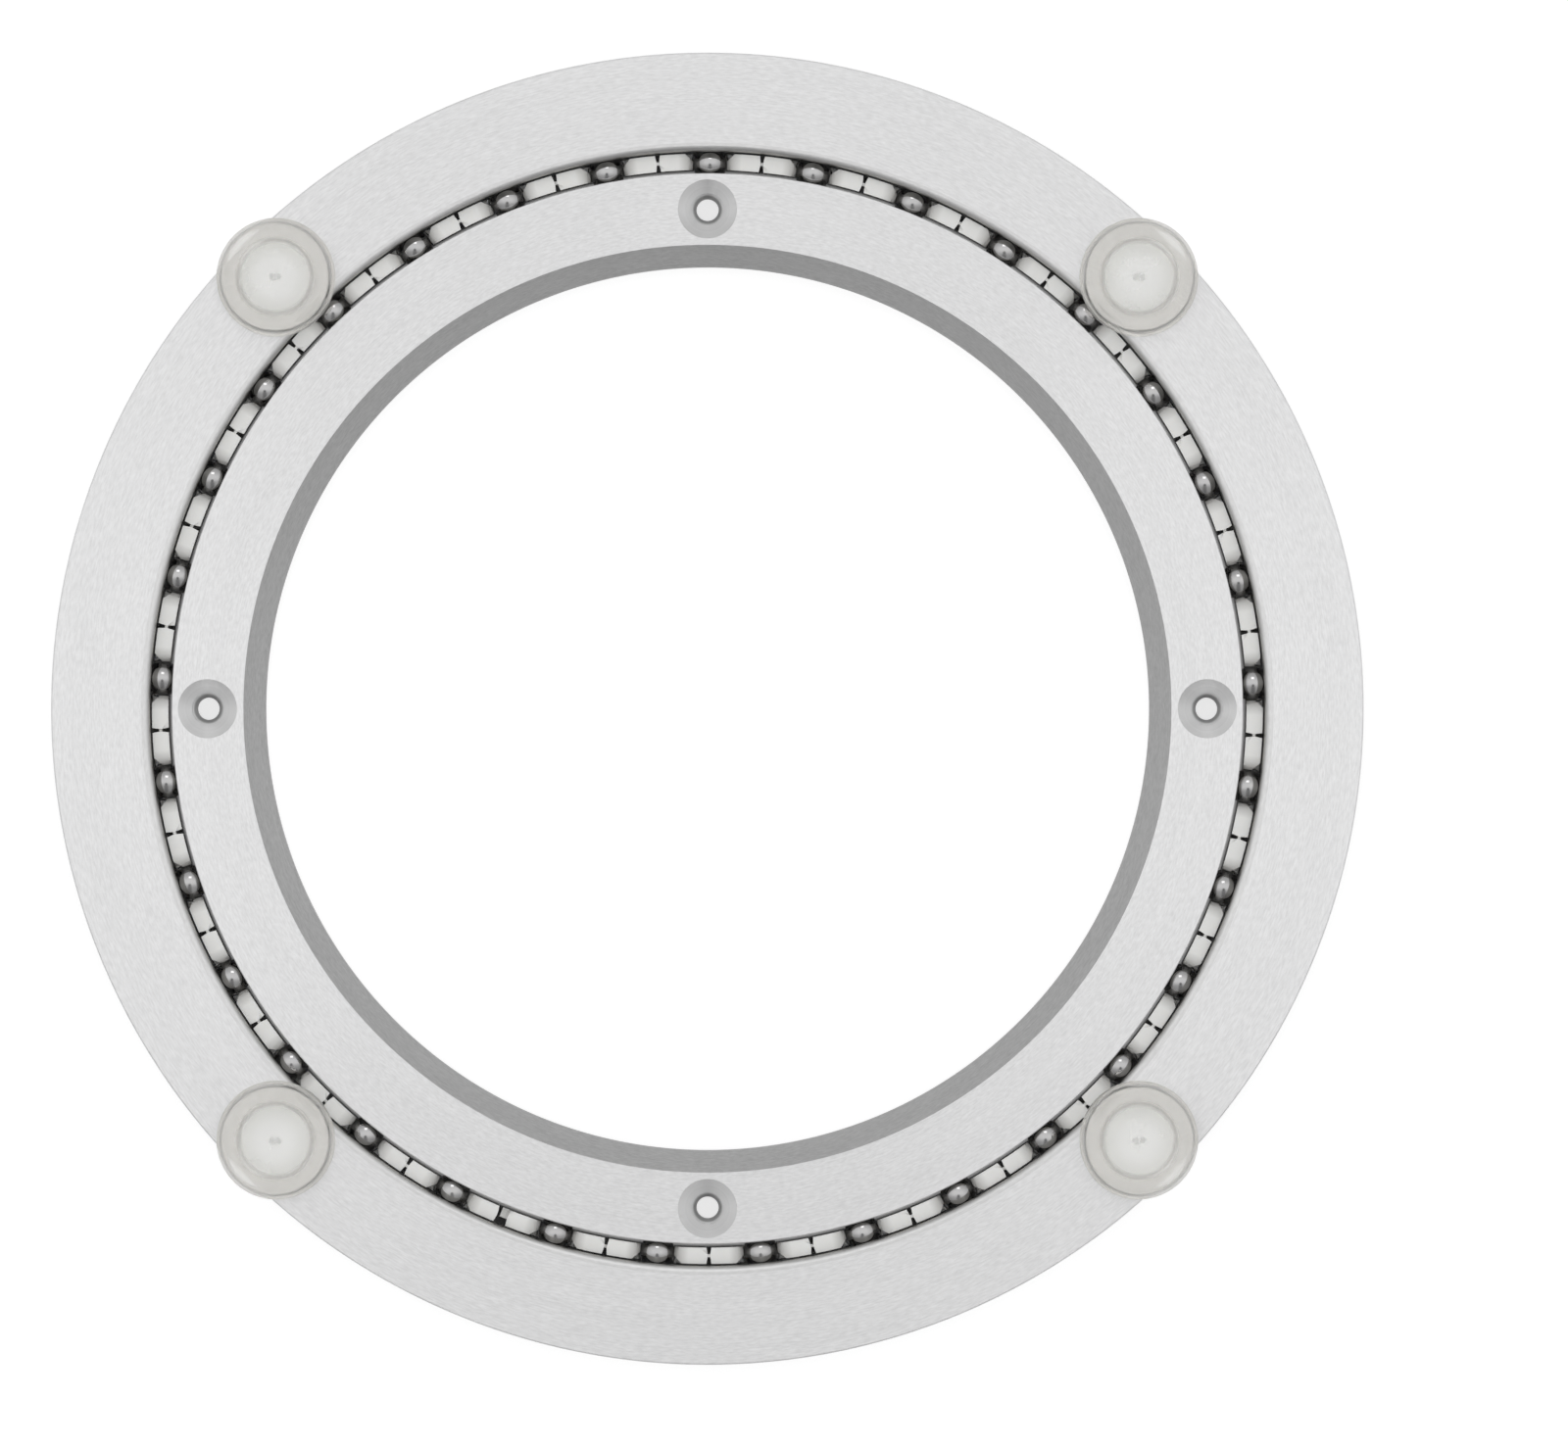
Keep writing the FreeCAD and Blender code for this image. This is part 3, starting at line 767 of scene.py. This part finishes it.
def make_floor():
    """A floor that stays white beside the bearing and in its bore, and dark under slot and outer ring."""
    bm = bmesh.new()
    bmesh.ops.create_grid(bm, x_segments=1, y_segments=1, size=3.0)
    bmesh.ops.translate(bm, verts=bm.verts, vec=(0, 0, -FLOOR_DEPTH))
    material, nodes, links, shader = start_material("floor_white")
    shader.inputs["Roughness"].default_value = 0.9
    shader.inputs["Specular IOR Level"].default_value = 0.0
    shader.inputs["Emission Color"].default_value = (1, 1, 1, 1)
    path = nodes.new("ShaderNodeLightPath")
    camera_ray = path.outputs["Is Camera Ray"]
    through_clear = path.outputs["Is Transmission Ray"]
    straight = math_node(nodes, links, "ADD", camera_ray, through_clear)
    mirrored = path.outputs["Is Glossy Ray"]
    seen = math_node(nodes, links, "ADD", straight, mirrored, clamp=True)
    colour = mix_colour(nodes, links, seen, FLOOR_COLOUR, FLOOR_COLOUR_SEEN)
    links.new(colour, shader.inputs["Base Color"])

    place = nodes.new("ShaderNodeTexCoord").outputs["Object"]
    radius = vector_node(nodes, links, "LENGTH", place)
    slot_start = INNER_WALL_RADIUS - 0.7 * MM
    slot_end = INNER_WALL_RADIUS + 0.7 * MM
    beyond_slot = remap(nodes, links, radius, slot_start, slot_end, 0.0, 1.0)
    beyond_rim = remap(nodes, links, radius, RIM_RADIUS - 2.0 * MM, RIM_RADIUS, 0.0, 1.0)
    covered = math_node(nodes, links, "SUBTRACT", beyond_slot, beyond_rim)
    lower_side = nodes.new("ShaderNodeNewGeometry").outputs["Backfacing"]
    upper_side = math_node(nodes, links, "SUBTRACT", 1.0, lower_side)
    covered = math_node(nodes, links, "MULTIPLY", covered, upper_side)
    bare = math_node(nodes, links, "SUBTRACT", 1.0, covered)
    glow = math_node(nodes, links, "MULTIPLY", bare, FLOOR_GLOW)
    lost = math_node(nodes, links, "MULTIPLY", mirrored, FLOOR_GLOW_LOST_IN_METAL)
    fainter = math_node(nodes, links, "SUBTRACT", seen, lost)
    links.new(math_node(nodes, links, "MULTIPLY", fainter, glow), shader.inputs["Emission Strength"])
    floor = new_piece("floor", bm, material)


def mix_value(nodes, links, factor, first, second):
    node = nodes.new("ShaderNodeMix")
    node.clamp_factor = True
    links.new(factor, node.inputs["Factor"])
    for socket, value in zip((node.inputs["A"], node.inputs["B"]), (first, second)):
        if isinstance(value, float):
            socket.default_value = value
        else:
            links.new(value, socket)
    return node.outputs["Result"]


def make_world():
    """A pale room: white where it is seen, softer as light, and in metal greyer near the horizon."""
    world = bpy.data.worlds.new("pale_room")
    world.use_nodes = True
    nodes = world.node_tree.nodes
    links = world.node_tree.links
    background = nodes["Background"]
    background.inputs["Color"].default_value = (1, 1, 1, 1)
    direction = nodes.new("ShaderNodeTexCoord").outputs["Generated"]
    split = nodes.new("ShaderNodeSeparateXYZ")
    links.new(direction, split.inputs[0])
    height = remap(nodes, links, split.outputs["Z"], 0.2, 0.9, ROOM_HORIZON, 1.0)
    near = remap(nodes, links, split.outputs["Y"], -0.55, 0.05, ROOM_NEAR_SIDE, 1.0, smooth=True)
    far = remap(nodes, links, split.outputs["Y"], 0.2, 0.7, 1.0, ROOM_FAR_SIDE, smooth=True)
    room = math_node(nodes, links, "MULTIPLY", height, math_node(nodes, links, "MULTIPLY", near, far))
    to_stand = vector_node(nodes, links, "DISTANCE", direction, STAND_DIRECTION)
    head = remap(nodes, links, to_stand, 0.08, 0.2, 0.35, 1.0, smooth=True)
    sideways = math_node(nodes, links, "ABSOLUTE", split.outputs["X"])
    across = remap(nodes, links, sideways, 0.1, 0.3, 1.0, 0.0, smooth=True)
    below = remap(nodes, links, split.outputs["Y"], -0.45, -0.15, 0.5, 0.0, smooth=True)
    column = math_node(nodes, links, "SUBTRACT", 1.0, math_node(nodes, links, "MULTIPLY", across, below))
    stand = math_node(nodes, links, "MULTIPLY", head, column)
    room = math_node(nodes, links, "MULTIPLY", room, stand)
    path = nodes.new("ShaderNodeLightPath")
    camera_ray = path.outputs["Is Camera Ray"]
    through_clear = path.outputs["Is Transmission Ray"]
    seen = math_node(nodes, links, "ADD", camera_ray, through_clear)
    mirrored = mix_value(nodes, links, path.outputs["Is Glossy Ray"], ROOM_LIGHT, room)
    links.new(mix_value(nodes, links, seen, mirrored, 1.0), background.inputs["Strength"])
    bpy.context.scene.world = world


def make_soft_box(name, place, size, power):
    lamp = bpy.data.lights.new(name, "AREA")
    lamp.shape = "RECTANGLE"
    lamp.size = size[0]
    lamp.size_y = size[1]
    lamp.energy = power
    box = bpy.data.objects.new(name, lamp)
    box.location = place
    box.rotation_euler = (-Vector(place)).to_track_quat("-Z", "Y").to_euler()
    bpy.context.scene.collection.objects.link(box)


def make_camera():
    data = bpy.data.cameras.new("camera")
    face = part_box("outer_ring")[1].z
    data.sensor_width = 36.0
    data.lens = data.sensor_width * (CAMERA_HEIGHT - face) / (FRAME_WIDTH_PIXELS * PIXEL)
    data.clip_start = 0.01
    data.clip_end = 20.0
    camera = bpy.data.objects.new("camera", data)
    camera.location = (AXIS_LEFT_OF_MIDDLE_PIXELS * PIXEL, -AXIS_ABOVE_MIDDLE_PIXELS * PIXEL, CAMERA_HEIGHT)
    bpy.context.scene.collection.objects.link(camera)
    bpy.context.scene.camera = camera


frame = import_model()

turning_lines = make_turning_lines()
handling_haze = make_handling_haze()
slot_shade_group = make_slot_shade()
aluminium = make_turned_aluminium()
ball_steel = make_ball_steel()
pockets = [sum(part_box(ball), Vector()) for ball in ("ball_01", "ball_02")]
nylon = make_nylon(*[math.atan2(pocket.y, pocket.x) for pocket in pockets])
foot_centre = sum(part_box("foot_pad_1"), Vector()) / 2
clear_pvc = make_clear_pvc(foot_centre.x)
plated_steel = make_plated_steel()

make_outer_ring(aluminium)
make_inner_ring(aluminium)
make_smooth_copy("ball_retainer", "nylon_retainer", nylon)
for ball in range(1, BALL_COUNT + 1):
    make_ball("ball_%02d" % ball, "steel_ball_%02d" % ball, ball_steel)
for foot in range(1, FOOT_COUNT + 1):
    make_foot_pad(foot, clear_pvc)
    make_threaded_stud(foot, plated_steel)

make_floor()
make_world()
make_soft_box("far_soft_box", (0.0, 0.9, 1.3), (0.5, 0.35), 0.7)
make_camera()
bpy.context.scene.view_settings.view_transform = "Standard"
